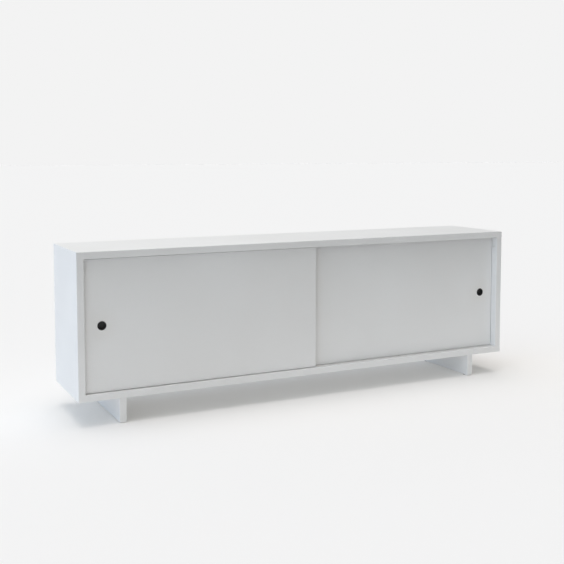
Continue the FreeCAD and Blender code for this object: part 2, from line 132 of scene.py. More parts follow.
def new_material(name, **sockets):
    """A material with a Principled shader, and constants set straight on its sockets."""
    material = bpy.data.materials.new(name)
    material.use_nodes = True
    tree = material.node_tree
    shader = next(n for n in tree.nodes if n.type == "BSDF_PRINCIPLED")
    for socket, value in sockets.items():
        shader.inputs[socket.replace("_", " ")].default_value = value
    return material, tree, shader


def object_noise(tree, per_metre, stretch=(1, 1, 1), detail=3.0, roughness=0.5):
    """Noise in Object coordinates, squeezed along each axis by stretch."""
    place = tree.nodes.new("ShaderNodeTexCoord")
    mapping = tree.nodes.new("ShaderNodeMapping")
    mapping.inputs["Scale"].default_value = stretch
    noise = tree.nodes.new("ShaderNodeTexNoise")
    noise.inputs["Scale"].default_value = per_metre
    noise.inputs["Detail"].default_value = detail
    noise.inputs["Roughness"].default_value = roughness
    tree.links.new(place.outputs["Object"], mapping.inputs["Vector"])
    tree.links.new(mapping.outputs["Vector"], noise.inputs["Vector"])
    return noise.outputs["Fac"]


def ramp(tree, factor, stops):
    """A colour ramp: stops are (position, colour)."""
    node = tree.nodes.new("ShaderNodeValToRGB")
    elements = node.color_ramp.elements
    for i, (position, colour) in enumerate(stops):
        element = elements[i] if i < 2 else elements.new(position)
        element.position = position
        element.color = (*colour, 1)
    tree.links.new(factor, node.inputs["Fac"])
    return node.outputs["Color"]


def spread(tree, factor, low, high, start=NOISE_LOW, stop=NOISE_HIGH):
    """Maps a factor that runs from start to stop onto low to high."""
    node = tree.nodes.new("ShaderNodeMapRange")
    limits = {"From Min": start, "From Max": stop, "To Min": low, "To Max": high}
    for name, value in limits.items():
        node.inputs[name].default_value = value
    tree.links.new(factor, node.inputs["Value"])
    return node.outputs["Result"]


def bump(tree, height, depth, strength=1.0, below=None):
    """A bump whose full height is depth metres, laid over another one if given."""
    node = tree.nodes.new("ShaderNodeBump")
    node.inputs["Distance"].default_value = depth
    node.inputs["Strength"].default_value = strength
    tree.links.new(height, node.inputs["Height"])
    if below:
        tree.links.new(below, node.inputs["Normal"])
    return node.outputs["Normal"]


def stained(tree, colour, amount, stain):
    """Multiplies a colour by a stain, as far as amount says."""
    node = tree.nodes.new("ShaderNodeMix")
    node.data_type = "RGBA"
    node.blend_type = "MULTIPLY"
    inputs = {socket.identifier: socket for socket in node.inputs}
    inputs["B_Color"].default_value = (*stain, 1)
    tree.links.new(amount, inputs["Factor_Float"])
    tree.links.new(colour, inputs["A_Color"])
    return next(socket for socket in node.outputs if socket.identifier == "Result_Color")


def finish_with(tree, shader, colour=None, roughness=None, normal=None):
    """Links what a finish has worked out to the shader."""
    for name, value in (("Base Color", colour), ("Roughness", roughness), ("Normal", normal)):
        if value:
            tree.links.new(value, shader.inputs[name])


def grey(value, warm=0.0):
    """A near-neutral colour; warm above zero is towards cream, below zero towards blue."""
    return (value * (1 + warm), value, value * (1 - warm))


# %% [markdown]
# ## White lacquer
#
# The case, the doors and the legs are fibreboard sprayed with a satin white lacquer. Sprayed
# lacquer is never quite flat: it dries with a faint orange peel a few millimetres across, and
# its gloss wanders over a hand's width where it was rubbed down or wiped. A slow, very weak
# colour change keeps a large plain face from looking computed. Here and there a nib of dust was
# caught while the lacquer was wet. Around a finger pull the door is touched every day, so the
# doors' lacquer also carries a faint smudge there. Two more helpers serve it: one measures how
# near the pull is, and one does sums with nodes.

# %% Lacquer
LACQUER_LIGHT = grey(0.880, -0.008)
LACQUER_DEEP = grey(0.845, -0.004)
LACQUER_GLOSS = {"low": 0.30, "high": 0.40}     # roughness, where it is rubbed and where it is not
PEEL_SHADE = grey(0.975)
PEEL_DEPTH = 0.07 * MM
NIB_SHADE = grey(0.93, 0.01)
NIB_DEPTH = 0.02 * MM
NIB_PEAKS = {"start": 0.84, "stop": 0.89}       # only the peaks of the noise become nibs
MIST_DEPTH = 0.006 * MM
SMUDGE_SHADE = grey(0.945, 0.02)
SMUDGE_REACH = 90 * MM
SMUDGE_DULLS = 0.22                             # roughness that a full smudge adds
SIDES = ("left", "right")


def nearness(tree, centre, reach):
    """1 at a point, falling to 0 at a distance of reach metres."""
    place = tree.nodes.new("ShaderNodeTexCoord")
    away = tree.nodes.new("ShaderNodeVectorMath")
    away.operation = "DISTANCE"
    away.inputs[1].default_value = centre
    fade = tree.nodes.new("ShaderNodeMapRange")
    fade.interpolation_type = "SMOOTHERSTEP"
    fade.inputs["From Min"].default_value = reach
    fade.inputs["From Max"].default_value = 0
    tree.links.new(place.outputs["Object"], away.inputs[0])
    tree.links.new(away.outputs["Value"], fade.inputs["Value"])
    return fade.outputs["Result"]


def combine(tree, operation, first, second):
    """One Math node; each operand is a number, or an output to link from."""
    node = tree.nodes.new("ShaderNodeMath")
    node.operation = operation
    for socket, value in zip(node.inputs, (first, second)):
        if isinstance(value, (int, float)):
            socket.default_value = value
        else:
            tree.links.new(value, socket)
    return node.outputs["Value"]


def lacquer(name, smudge_at=None):
    """Satin white lacquer, with a smudge round a point if one is given."""
    material, tree, shader = new_material(name, Coat_Weight=0.18, Coat_Roughness=0.22, IOR=1.5)
    clouds = object_noise(tree, per_metre=2.3, detail=2)
    wiped = object_noise(tree, per_metre=9, stretch=(0.6, 1, 1.6), detail=4)
    peel = object_noise(tree, per_metre=340, detail=1.5)
    mist = object_noise(tree, per_metre=1500, detail=0)
    dust = object_noise(tree, per_metre=380, detail=0)
    nibs = spread(tree, dust, low=0, high=1, **NIB_PEAKS)
    colour = ramp(tree, clouds, [(0.35, LACQUER_DEEP), (0.65, LACQUER_LIGHT)])
    colour = stained(tree, colour, peel, PEEL_SHADE)
    colour = stained(tree, colour, nibs, NIB_SHADE)
    gloss = spread(tree, wiped, **LACQUER_GLOSS)
    if smudge_at:
        smears = object_noise(tree, per_metre=60, detail=5)
        smudge = combine(tree, "MULTIPLY", nearness(tree, smudge_at, SMUDGE_REACH), smears)
        gloss = combine(tree, "ADD", gloss, combine(tree, "MULTIPLY", smudge, SMUDGE_DULLS))
        colour = stained(tree, colour, smudge, SMUDGE_SHADE)
    surface = bump(tree, peel, PEEL_DEPTH)
    surface = bump(tree, nibs, NIB_DEPTH, below=surface)
    surface = bump(tree, mist, MIST_DEPTH, below=surface)
    finish_with(tree, shader, colour, gloss, surface)
    return material


def middle(node):
    """The middle of a CAD node's box."""
    low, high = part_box(node)
    return (low + high) / 2


case_lacquer = lacquer("white_lacquer")
door_lacquer = {side: lacquer(f"{side}_door_lacquer", smudge_at=middle(f"{side}_finger_pull"))
                for side in SIDES}
print("lacquers:", case_lacquer.name, *(m.name for m in door_lacquer.values()))

# %% [markdown]
# ## Boards inside and behind
#
# The divider and shelves are melamine faced board, a harder and slightly warmer white than the
# lacquer, with the fine pearl texture of its press plate. The back is thin hardboard, whose
# pressed fibres run every way and show through its white face.

# %% Board materials
def shades(deep, light):
    """Stops for a ramp across the part of a noise where nearly all of it lies."""
    return [(NOISE_LOW, deep), (NOISE_HIGH, light)]


def melamine():
    material, tree, shader = new_material("white_melamine", IOR=1.48)
    pearl = object_noise(tree, per_metre=900, detail=2)
    clouds = object_noise(tree, per_metre=4)
    colour = ramp(tree, clouds, shades(grey(0.80, 0.012), grey(0.84, 0.008)))
    colour = stained(tree, colour, pearl, grey(0.97))
    gloss = spread(tree, pearl, low=0.42, high=0.55)
    finish_with(tree, shader, colour, gloss, bump(tree, pearl, depth=0.06 * MM))
    return material


def hardboard():
    material, tree, shader = new_material("white_hardboard", IOR=1.45)
    fibres = object_noise(tree, per_metre=120, stretch=(1, 1, 4), detail=6, roughness=0.7)
    crossed = object_noise(tree, per_metre=120, stretch=(4, 1, 1), detail=6, roughness=0.7)
    weave = combine(tree, "MAXIMUM", fibres, crossed)
    colour = ramp(tree, weave, [(0.4, grey(0.71, 0.02)), (0.75, grey(0.79, 0.012))])
    gloss = spread(tree, weave, low=0.55, high=0.72)
    finish_with(tree, shader, colour, gloss, bump(tree, weave, depth=0.12 * MM))
    return material


board_white = melamine()
board_back = hardboard()
print("boards:", board_white.name, board_back.name)

# %% [markdown]
# ## Metal, plastic, wood and felt
#
# The finger pulls are pressed metal with a black satin coat, and the lathe leaves rings that
# only show as a shimmer. The upper track is drawn aluminium and the lower one extruded white
# plastic, so their lines run along X: the noise is squeezed across the track and stretched
# along it. Zinc plating has cloudy patches. Nylon, the grommets' plastic and the bumpers'
# rubber are all moulded, with the spark texture of the mould. The dowels and biscuits inside
# the joints are raw beech, and the pads under the legs are pressed felt.

# %% Fittings materials
def ring_waves(tree, centre, per_metre):
    """Rings about an axis along Y through a point, as on a turned face."""
    place = tree.nodes.new("ShaderNodeTexCoord")
    mapping = tree.nodes.new("ShaderNodeMapping")
    mapping.vector_type = "POINT"
    mapping.inputs["Location"].default_value = (-centre[0], 0, -centre[2])
    wave = tree.nodes.new("ShaderNodeTexWave")
    wave.wave_type = "RINGS"
    wave.rings_direction = "Y"
    wave.inputs["Scale"].default_value = per_metre
    wave.inputs["Distortion"].default_value = 0.6
    tree.links.new(place.outputs["Object"], mapping.inputs["Vector"])
    tree.links.new(mapping.outputs["Vector"], wave.inputs["Vector"])
    return wave.outputs["Fac"]


def black_coat(side):
    """The coat of one finger pull, with its rings about that pull's axis."""
    material, tree, shader = new_material(f"{side}_pull_black", Metallic=0.2, Coat_Weight=0.3,
                                          Coat_Roughness=0.3)
    rings = ring_waves(tree, middle(f"{side}_finger_pull"), per_metre=900)
    grain = object_noise(tree, per_metre=1200, detail=2)
    colour = ramp(tree, grain, shades(grey(0.012), grey(0.024)))
    gloss = spread(tree, grain, low=0.30, high=0.42)
    surface = bump(tree, rings, depth=0.02 * MM, strength=0.6)
    surface = bump(tree, grain, depth=0.01 * MM, below=surface)
    finish_with(tree, shader, colour, gloss, surface)
    return material


def drawn_aluminium():
    material, tree, shader = new_material("drawn_aluminium", Metallic=1.0)
    lines = object_noise(tree, per_metre=900, stretch=(0.01, 1, 1), detail=4, roughness=0.6)
    patches = object_noise(tree, per_metre=12)
    colour = ramp(tree, lines, shades(grey(0.66, -0.01), grey(0.80, -0.008)))
    gloss = spread(tree, patches, low=0.30, high=0.42)
    finish_with(tree, shader, colour, gloss, bump(tree, lines, depth=0.02 * MM))
    return material


def extruded_white():
    material, tree, shader = new_material("extruded_white", IOR=1.5)
    lines = object_noise(tree, per_metre=900, stretch=(0.01, 1, 1), detail=3)
    patches = object_noise(tree, per_metre=14)
    colour = ramp(tree, patches, shades(grey(0.79, 0.004), grey(0.85, 0.002)))
    colour = stained(tree, colour, lines, grey(0.96))
    gloss = spread(tree, lines, low=0.34, high=0.48)
    finish_with(tree, shader, colour, gloss, bump(tree, lines, depth=0.015 * MM))
    return material


def zinc_plate():
    material, tree, shader = new_material("zinc_plate", Metallic=1.0)
    clouds = object_noise(tree, per_metre=260, detail=3)
    grain = object_noise(tree, per_metre=2500)
    colour = ramp(tree, clouds, shades((0.60, 0.61, 0.60), (0.76, 0.75, 0.70)))
    gloss = spread(tree, clouds, low=0.24, high=0.40)
    finish_with(tree, shader, colour, gloss, bump(tree, grain, depth=0.01 * MM))
    return material


def moulded(name, light, deep, through=0.0):
    """Moulded plastic or rubber: two shades, a spark texture, and some light through it."""
    material, tree, shader = new_material(name, IOR=1.5, Transmission_Weight=through)
    spark = object_noise(tree, per_metre=1800, detail=2)
    patches = object_noise(tree, per_metre=90)
    colour = ramp(tree, patches, shades(deep, light))
    gloss = spread(tree, spark, low=0.40, high=0.60)
    finish_with(tree, shader, colour, gloss, bump(tree, spark, depth=0.03 * MM))
    return material


def beech_wood():
    material, tree, shader = new_material("raw_beech", IOR=1.4)
    grain = object_noise(tree, per_metre=220, stretch=(1, 0.08, 1), detail=5)
    flecks = object_noise(tree, per_metre=700, stretch=(1, 0.2, 1))
    colour = ramp(tree, grain, shades((0.50, 0.31, 0.17), (0.66, 0.46, 0.29)))
    gloss = spread(tree, flecks, low=0.55, high=0.75)
    finish_with(tree, shader, colour, gloss, bump(tree, grain, depth=0.08 * MM))
    return material


def pressed_felt():
    material, tree, shader = new_material("pressed_felt", Roughness=0.95, Sheen_Weight=0.4)
    fibres = object_noise(tree, per_metre=1600, detail=6, roughness=0.8)
    colour = ramp(tree, fibres, shades(grey(0.10, 0.03), grey(0.24, 0.03)))
    finish_with(tree, shader, colour, normal=bump(tree, fibres, depth=0.25 * MM))
    return material


pull_black = {side: black_coat(side) for side in SIDES}
aluminium = drawn_aluminium()
track_white = extruded_white()
zinc = zinc_plate()
nylon_white = moulded("white_nylon", grey(0.80, 0.01), grey(0.70, 0.015))
nylon_grey = moulded("grey_nylon", grey(0.20), grey(0.14))
port_black = moulded("port_black", grey(0.035), grey(0.022))
bumper_rubber = moulded("bumper_rubber", grey(0.80, 0.02), grey(0.72, 0.03), through=0.4)
beech = beech_wood()
felt = pressed_felt()
print(len(bpy.data.materials), "materials so far")

# %% [markdown]
# ## Panels, from the CAD solids
#
# The panels have real work in them: mitres, rabbets, grooves and rows of shelf-pin holes. All
# that is already right in the CAD mesh, but it arrives as loose flat triangles, so its rounded
# edges would show facets. A copy is joined up, and its coplanar triangles are dissolved into
# clean faces. The case, the doors and the legs have rounds of their own. The boards and the
# backs are sharp, so they get a small bevel where the maker's sandpaper would have broken them.
# Smooth shading with weighted normals then keeps the large faces flat and the edges soft.

# %% Joined and softened copies of CAD solids
WELD = 0.002 * MM                       # vertices closer than this are one
FLAT = math.radians(0.4)                # faces that turn less than this are one
SHARP = math.radians(30)                # edges that turn more than this are corners
BEVEL_STEPS = 3
BOARD_EDGE = 0.4 * MM
BACK_EDGE = 0.3 * MM


def welded(node):
    """A bmesh of the CAD node with its triangles joined and its flat faces whole."""
    mesh = bmesh.new()
    mesh.from_mesh(frame["nodes"][node].data)
    bmesh.ops.remove_doubles(mesh, verts=mesh.verts, dist=WELD)
    bmesh.ops.dissolve_limit(mesh, angle_limit=FLAT, verts=mesh.verts, edges=mesh.edges)
    return mesh


def break_edges(mesh, width, shortest):
    """Bevels the sharp outside edges that are at least as long as shortest."""
    chosen = [e for e in mesh.edges
              if len(e.link_faces) == 2 and e.is_convex and e.calc_length() >= shortest
              and e.calc_face_angle() > SHARP]
    bmesh.ops.bevel(mesh, geom=chosen, offset=width, segments=BEVEL_STEPS, profile=0.5,
                    affect="EDGES", clamp_overlap=True)
    return len(chosen)


def shade_softly(mesh_data):
    """Smooth shading, split at sharp edges."""
    mesh_data.polygons.foreach_set("use_smooth", [True] * len(mesh_data.polygons))
    mesh_data.set_sharp_from_angle(angle=SHARP)


def as_piece(name, mesh, node, material):
    """Turns a bmesh into a finished piece that stands for a CAD node."""
    data = bpy.data.meshes.new(name)
    mesh.to_mesh(data)
    mesh.free()
    return finish_piece(name, data, node, material)


def finish_piece(name, data, node, material):
    """Shades a mesh, gives it its material, and puts it on its CAD node's body."""
    shade_softly(data)
    data.materials.clear()
    data.materials.append(material)
    piece = bpy.data.objects.new(name, data)
    bpy.context.scene.collection.objects.link(piece)
    steady = piece.modifiers.new("steady_normals", "WEIGHTED_NORMAL")
    steady.keep_sharp = True
    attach(piece, body_of_node[node])
    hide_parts(node)
    return piece


def panel_piece(node, material, edge=0.0, shortest=20 * MM):
    """Finishes a CAD solid; edge is the width of the bevel, or 0 for none."""
    mesh = welded(node)
    broken = break_edges(mesh, edge, shortest) if edge else 0
    piece = as_piece(f"{node}_finished", mesh, node, material)
    print(f"{piece.name}: {len(piece.data.polygons)} faces, {broken} edges broken")


for node in ("top_panel", "bottom_panel", "left_side_panel", "right_side_panel"):
    panel_piece(node, case_lacquer)
for side in SIDES:
    panel_piece(f"{side}_leg", case_lacquer)
    panel_piece(f"{side}_door_panel", door_lacquer[side])
    panel_piece(f"{side}_shelf", board_white, BOARD_EDGE)
    panel_piece(f"{side}_back_panel", board_back, BACK_EDGE)
panel_piece("centre_divider", board_white)

# %% [markdown]
# ## Tracks, guides and roller housings
#
# These are the same kind of piece, with smaller edges: an extruded track has corners of a few
# tenths of a millimetre, and so have mouldings.

# %% Tracks and mouldings
ALUMINIUM_EDGE = 0.2 * MM
EXTRUDED_EDGE = 0.25 * MM
MOULDED_EDGE = 0.3 * MM

panel_piece("upper_track", aluminium, ALUMINIUM_EDGE, shortest=10 * MM)
panel_piece("lower_track", track_white, EXTRUDED_EDGE, shortest=500 * MM)
for side in SIDES:
    panel_piece(f"{side}_roller_housings", nylon_grey, MOULDED_EDGE, shortest=8 * MM)
    panel_piece(f"{side}_top_guides", nylon_white, MOULDED_EDGE, shortest=8 * MM)

# %% [markdown]
# ## Turned pieces
#
# A finger pull, a roller and a cable grommet are round, so each is a profile spun about an
# axis along Y. A profile is a short list of (radius, depth) points, and the corners that a
# finger or an eye would find are rounded: a corner is given its own radius, and the helper puts
# a small arc there. Spinning gives quads all round, with one vertex on the axis where the
# profile touches it. Normals are recalculated after the seam is merged, so they point outwards.

# %% Spinning a profile
def rounded_profile(points, steps=5):
    """(radius, depth, corner round) points to a line with arcs in its corners."""
    line = []
    for i, (radius, depth, corner) in enumerate(points):
        here = Vector((radius, depth))
        if not corner:
            line.append(here)
            continue
        back = Vector(points[i - 1][:2]) - here
        ahead = Vector(points[(i + 1) % len(points)][:2]) - here
        start = here + back.normalized() * corner
        end = here + ahead.normalized() * corner
        for k in range(steps + 1):
            t = k / steps
            line.append(start * (1 - t) ** 2 + here * 2 * t * (1 - t) + end * t ** 2)
    return line


def turned(profile, centre, around=96, closed=True):
    """Spins a (radius, depth) line about an axis along Y through centre; depth runs to +Y."""
    mesh = bmesh.new()
    rings = []
    for k in range(around):
        angle = math.tau * k / around
        across = Vector((math.cos(angle), 0, math.sin(angle)))
        rings.append([mesh.verts.new(centre + across * p.x + Vector((0, p.y, 0)))
                      for p in profile])
    count = len(profile)
    for k in range(around):
        one = rings[k]
        two = rings[(k + 1) % around]
        for i in range(count if closed else count - 1):
            j = (i + 1) % count
            mesh.faces.new((one[i], one[j], two[j], two[i]))
    bmesh.ops.remove_doubles(mesh, verts=mesh.verts, dist=WELD)
    bmesh.ops.dissolve_degenerate(mesh, dist=WELD, edges=mesh.edges)
    bmesh.ops.recalc_face_normals(mesh, faces=mesh.faces)
    return mesh


# %% [markdown]
# ### Finger pulls
#
# A shallow cup with a thin flange. The lip rolls over into the cup, the floor has a raised
# ring and a small dimple from the press, and the outside is plain, because it is glued in the
# door. Its width and depth come from the CAD node's own box.

# %% Finger pulls
CUP_FLANGE = 0.8 * MM                   # thickness of the flange
CUP_LEDGE = 1.1 * MM                    # how far the flange stands out past the wall
CUP_WALL = 1.5 * MM
CUP_FLOOR = 1.5 * MM
CUP_CORNER = 2.2 * MM                   # round between wall and floor
CUP_LIP = 0.9 * MM                      # round where the flange rolls into the cup
RING_INSIDE = 5.2 * MM                  # the raised ring's radii
RING_OUTSIDE = 7.6 * MM
RING_SLOPE = 0.6 * MM
RING_HEIGHT = 0.45 * MM
RING_ROUND = 0.3 * MM
DIMPLE_RADIUS = 1.5 * MM
DIMPLE_DEPTH = 0.5 * MM
DIMPLE_BRIM = 0.2 * MM                  # its depth at DIMPLE_RADIUS
DIMPLE_ROUND = 0.6 * MM
FLANGE_EDGE_ROUND = 0.45 * MM
CUP_BACK_ROUND = 0.8 * MM
FINE_ROUND = 0.1 * MM


def front_centre(node):
    """The middle of the front face of a CAD node's box."""
    low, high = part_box(node)
    return Vector(((low.x + high.x) / 2, low.y, (low.z + high.z) / 2))


def finger_pull(side):
    node = f"{side}_finger_pull"
    low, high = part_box(node)
    rim = (high.x - low.x) / 2
    depth = high.y - low.y
    wall = rim - CUP_LEDGE
    inside = wall - CUP_WALL
    sunk = depth - CUP_FLOOR
    raised = sunk - RING_HEIGHT
    profile = rounded_profile([
        (0, sunk + DIMPLE_DEPTH, 0),
        (DIMPLE_RADIUS, sunk + DIMPLE_BRIM, DIMPLE_ROUND),
        (RING_INSIDE, sunk, RING_ROUND),
        (RING_INSIDE + RING_SLOPE, raised, RING_ROUND),
        (RING_OUTSIDE - RING_SLOPE, raised, RING_ROUND),
        (RING_OUTSIDE, sunk, RING_ROUND),
        (inside, sunk, CUP_CORNER),
        (inside, 0, CUP_LIP),
        (rim, 0, FLANGE_EDGE_ROUND),
        (rim, CUP_FLANGE, FINE_ROUND),
        (wall, CUP_FLANGE, 0),
        (wall, depth, CUP_BACK_ROUND),
        (0, depth, 0)])
    mesh = turned(profile, front_centre(node), closed=False)
    return as_piece(f"{side}_pull_cup", mesh, node, pull_black[side])


for side in SIDES:
    print(finger_pull(side).name, "made")

# %% [markdown]
# ### Rollers
#
# A roller straddles the rail with two flanges. Its groove is as deep as the CAD wheel's, and
# each face has the recess that a moulding has around its hub. The bore stays open for the axle.

# %% Rollers
GROOVE_DEPTH = 1.5 * MM
GROOVE_HALF = 1.3 * MM                  # half its width at the bottom
GROOVE_FLARE = 0.25 * MM                # how much wider each side is at the rim
AXLE_BORE = 2.05 * MM
HUB_RADIUS = 4.2 * MM
HUB_SLOPE = 0.4 * MM
WEB_SINK = 0.8 * MM                     # how far a face's recess goes in
RECESS_OUTSIDE = 2.6 * MM               # from the rim to the recess's floor and to its edge
RECESS_EDGE = 2.2 * MM
SMALL_ROUND = 0.2 * MM
RIM_ROUND = 0.35 * MM


def roller(node):
    low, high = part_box(node)
    rim = (high.z - low.z) / 2
    half = (high.y - low.y) / 2
    web = half - WEB_SINK
    far_side = [
        (AXLE_BORE, half, SMALL_ROUND),
        (HUB_RADIUS, half, SMALL_ROUND),
        (HUB_RADIUS + HUB_SLOPE, web, FINE_ROUND),
        (rim - RECESS_OUTSIDE, web, FINE_ROUND),
        (rim - RECESS_EDGE, half, SMALL_ROUND),
        (rim, half, RIM_ROUND),
        (rim, GROOVE_HALF + GROOVE_FLARE, FINE_ROUND),
        (rim - GROOVE_DEPTH, GROOVE_HALF, SMALL_ROUND)]
    near_side = [(radius, -depth, corner) for radius, depth, corner in reversed(far_side)]
    mesh = turned(rounded_profile(far_side + near_side, steps=3), middle(node), around=64)
    return as_piece(f"{node}_wheel", mesh, node, nylon_white)


for side in SIDES:
    for place in ("outer", "inner"):
        print(roller(f"{side}_{place}_roller").name, "made")

# %% [markdown]
# ### Cable grommets
#
# Each grommet lines a hole in the back, so that a cable never rubs on raw hardboard. Its flange
# is outside, with a rounded lip on both sides of the bore.

# %% Cable grommets
PORT_BORE = 25.5 * MM
SLEEVE = 28.0 * MM                      # outer radius, where it goes through the back
SLEEVE_ROUND = 0.6 * MM
FLANGE_THICKNESS = 2 * MM
FLANGE_ROUND = 1.2 * MM


def grommet(side):
    node = f"{side}_cable_grommet"
    low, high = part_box(node)
    rim = (high.x - low.x) / 2
    deep = high.y - low.y
    flange = deep - FLANGE_THICKNESS
    profile = rounded_profile([
        (PORT_BORE, 0, SLEEVE_ROUND),
        (SLEEVE, 0, SLEEVE_ROUND),
        (SLEEVE, flange, 0),
        (rim, flange, FINE_ROUND),
        (rim, deep, FLANGE_ROUND),
        (PORT_BORE, deep, FLANGE_ROUND)])
    return as_piece(f"{node}_ring", turned(profile, front_centre(node)), node, port_black)


for side in SIDES:
    print(grommet(side).name, "made")

# %% [markdown]
# ## Repeated fasteners, with Geometry Nodes
#
# The cabinet holds dozens of screws, shelf pins, pads and bumpers. Each kind is one small
# node tree: it builds one fastener at the origin, pointing along +Z, then instances it on a
# cloud of points. The points are read from the CAD solids, one for each separate solid, and
# each point carries the direction that its fastener faces. The tree ends by realizing the
# instances and setting the material, and the result is stored as a plain mesh.

# %% Points from CAD solids
def separate_solids(node):
    """The box of each separate solid in a CAD node."""
    mesh = bmesh.new()
    mesh.from_mesh(frame["nodes"][node].data)
    bmesh.ops.remove_doubles(mesh, verts=mesh.verts, dist=WELD)
    left = set(mesh.verts)
    boxes = []
    while left:
        todo = [left.pop()]
        seen = []
        while todo:
            vert = todo.pop()
            seen.append(vert.co.copy())
            for edge in vert.link_edges:
                other = edge.other_vert(vert)
                if other in left:
                    left.remove(other)
                    todo.append(other)
        low = Vector(map(min, *seen))
        high = Vector(map(max, *seen))
        boxes.append((low, high))
    mesh.free()
    return sorted(boxes, key=lambda b: tuple(round(v, 4) for v in b[0]))


def point_cloud(name, places):
    """A mesh of loose points; places are (point, direction the head faces)."""
    data = bpy.data.meshes.new(name)
    data.from_pydata([point for point, _ in places], [], [])
    facing = data.attributes.new("facing", "FLOAT_VECTOR", "POINT")
    for i, (_, direction) in enumerate(places):
        facing.data[i].vector = direction
    cloud = bpy.data.objects.new(name, data)
    bpy.context.scene.collection.objects.link(cloud)
    return cloud


# %% [markdown]
# A node tree is easier to read when each line says what it adds, so a small builder keeps the
# tree, makes a node, fills its sockets from keyword arguments and links the sockets that are
# given as other nodes' outputs. Named inputs become sockets of the tree's interface, and their
# values are set on the modifier by the socket's identifier, before anything is evaluated.

# %% A small builder for node trees
class FastenerTree:
    """Builds a Geometry Nodes tree whose inputs are points, sizes in metres and a material."""

    def __init__(self, name, sizes):
        self.tree = bpy.data.node_groups.new(name, "GeometryNodeTree")
        face = self.tree.interface
        face.new_socket("Points", in_out="INPUT", socket_type="NodeSocketGeometry")
        for size in sizes:
            face.new_socket(size, in_out="INPUT", socket_type="NodeSocketFloat")
        face.new_socket("Finish", in_out="INPUT", socket_type="NodeSocketMaterial")
        face.new_socket("Fasteners", in_out="OUTPUT", socket_type="NodeSocketGeometry")
        self.inputs = self.tree.nodes.new("NodeGroupInput").outputs
        self.output = self.tree.nodes.new("NodeGroupOutput").inputs[0]
        self.sizes = sizes

    def add(self, kind, settings=None, **sockets):
        """Adds a node; sockets are values or outputs to link from, named, or by place as i0."""
        node = self.tree.nodes.new(kind)
        for key, value in (settings or {}).items():
            setattr(node, key, value)
        for key, value in sockets.items():
            by_place = key[1:].isdigit()
            socket = node.inputs[int(key[1:]) if by_place else key.replace("_", " ")]
            for one in value if isinstance(value, list) else [value]:
                if isinstance(one, bpy.types.NodeSocket):
                    self.tree.links.new(one, socket)
                else:
                    socket.default_value = one
        return node.outputs[0]

    def maths(self, operation, first, second):
        return self.add("ShaderNodeMath", {"operation": operation}, i0=first, i1=second)

    def lifted(self, geometry, height):
        """Moves geometry up its own axis."""
        place = self.add("ShaderNodeCombineXYZ", Z=height)
        return self.add("GeometryNodeTransform", Geometry=geometry, Translation=place)

    def frustum(self, top, bottom, depth, base, around=32):
        """A closed cone stump that stands on a height of base."""
        cone = self.add("GeometryNodeMeshCone", Vertices=around, Radius_Top=top,
                        Radius_Bottom=bottom, Depth=depth)
        return self.lifted(cone, base)

    def instance(self, fastener, seed=None):
        """Puts the fastener on every point, facing its way, and ends the tree.

        A seed also spins each one about its own axis by a random angle.
        """
        facing = self.add("GeometryNodeInputNamedAttribute", {"data_type": "FLOAT_VECTOR"},
                          Name="facing")
        turn = self.add("FunctionNodeAlignRotationToVector", {"axis": "Z"}, Vector=facing)
        on_points = self.add("GeometryNodeInstanceOnPoints", Points=self.inputs["Points"],
                             Instance=fastener, Rotation=turn)
        if seed is not None:
            angle = self.add("FunctionNodeRandomValue", {"data_type": "FLOAT"},
                             i2=0.0, i3=math.tau, Seed=seed)
            euler = self.add("ShaderNodeCombineXYZ", Z=angle)
            on_points = self.add("GeometryNodeRotateInstances", Instances=on_points,
                                 Rotation=euler)
        real = self.add("GeometryNodeRealizeInstances", Geometry=on_points)
        done = self.add("GeometryNodeSetMaterial", Geometry=real, Material=self.inputs["Finish"])
        self.tree.links.new(done, self.output)
        return self


def grown(tree, cloud, name, node, finish, sizes):
    """Runs a tree on a cloud of points and keeps the result as a plain mesh piece."""
    modifier = cloud.modifiers.new("fasteners", "NODES")
    modifier.node_group = tree.tree
    for item in tree.tree.interface.items_tree:
        if item.in_out == "INPUT" and item.name in sizes:
            modifier[item.identifier] = sizes[item.name]
        if item.in_out == "INPUT" and item.name == "Finish":
            modifier[item.identifier] = finish
    ready = cloud.evaluated_get(bpy.context.evaluated_depsgraph_get())
    data = bpy.data.meshes.new_from_object(ready)
    data.name = name
    cloud.modifiers.remove(modifier)
    bpy.data.objects.remove(cloud)
    finish_piece(name, data, node, finish)
    print(f"{name}: {len(data.polygons)} faces")


# %% [markdown]
# ### Countersunk screws
#
# One tree makes every screw: a conical head under a thin rim, a cross recess cut by a boolean
# with two box-shaped blades, and a shank with a few thread ridges. Only one screw is cut, since
# instancing comes after it, and a seeded random turn leaves each cross at its own angle, as a
# driver does.

# %% Screw tree
SCREW_SIZES = ("Head Radius", "Head Height", "Shank Radius", "Length", "Recess")
HEAD_RIM = 0.12 * MM                    # the thin straight edge of the head
RIM_TAPER = 0.985
BLADE_LENGTH = 2.0                      # of the cross recess, as shares of its half length
BLADE_WIDTH = 0.42
TIP_TAPER = 0.35
SHANK_AROUND = 16
THREADS = 5
THREAD_PITCH = 1.6 * MM
THREAD_HEIGHT = 0.5 * MM
THREAD_TAPER = 0.9
SCREW_SEED = 7


